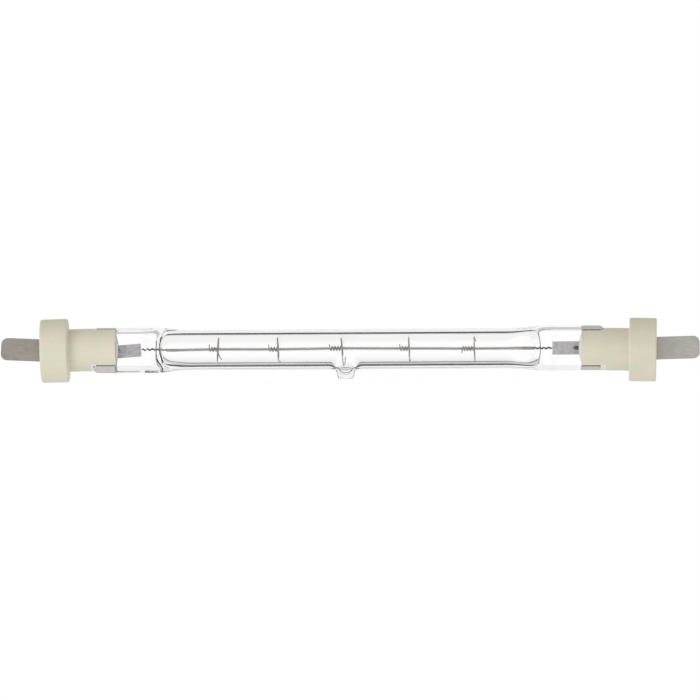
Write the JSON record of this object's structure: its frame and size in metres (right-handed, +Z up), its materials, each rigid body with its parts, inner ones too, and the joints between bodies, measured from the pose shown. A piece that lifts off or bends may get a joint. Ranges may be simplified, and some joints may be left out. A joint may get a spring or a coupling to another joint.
{
  "type": "blade base halogen bulb",
  "caption": "Double-ended tubular halogen bulb: coiled filament in a clear quartz tube with pinched seals, ceramic collar caps and flat blade contacts.",
  "frame": {"origin": "centre of the overall box, on the axis of the quartz tube midway between the blade tips", "axes": "+X along the tube towards the right blade in the picture, +Z up, with the exhaust tip pointing down along -Z; the picture looks along +Y"},
  "size_m": [0.194, 0.0176, 0.0182],
  "materials": {
    "quartz": "clear fused quartz, smooth and bright",
    "ceramic": "unglazed fine-grained ceramic, pale cream",
    "cement": "matt white high-temperature cement",
    "blade_metal": "satin grey plated metal with fine scratches",
    "lead_metal": "dark oxidised molybdenum wire",
    "foil_metal": "thin grey molybdenum foil",
    "tungsten": "drawn dark grey tungsten wire"
  },
  "bodies": {
    "root": {"quartz_envelope": "quartz", "filament": "tungsten", "left_ceramic_cap": "ceramic", "right_ceramic_cap": "ceramic", "left_cement": "cement", "right_cement": "cement", "left_contact_blade": "blade_metal", "right_contact_blade": "blade_metal", "left_outer_lead": "lead_metal", "right_outer_lead": "lead_metal", "left_sealing_foil": "foil_metal", "right_sealing_foil": "foil_metal", "left_inner_lead": "tungsten", "right_inner_lead": "tungsten", "filament_support_1": "tungsten", "filament_support_2": "tungsten", "filament_support_3": "tungsten", "filament_support_4": "tungsten", "filament_support_5": "tungsten"}
  },
  "joints": []
}
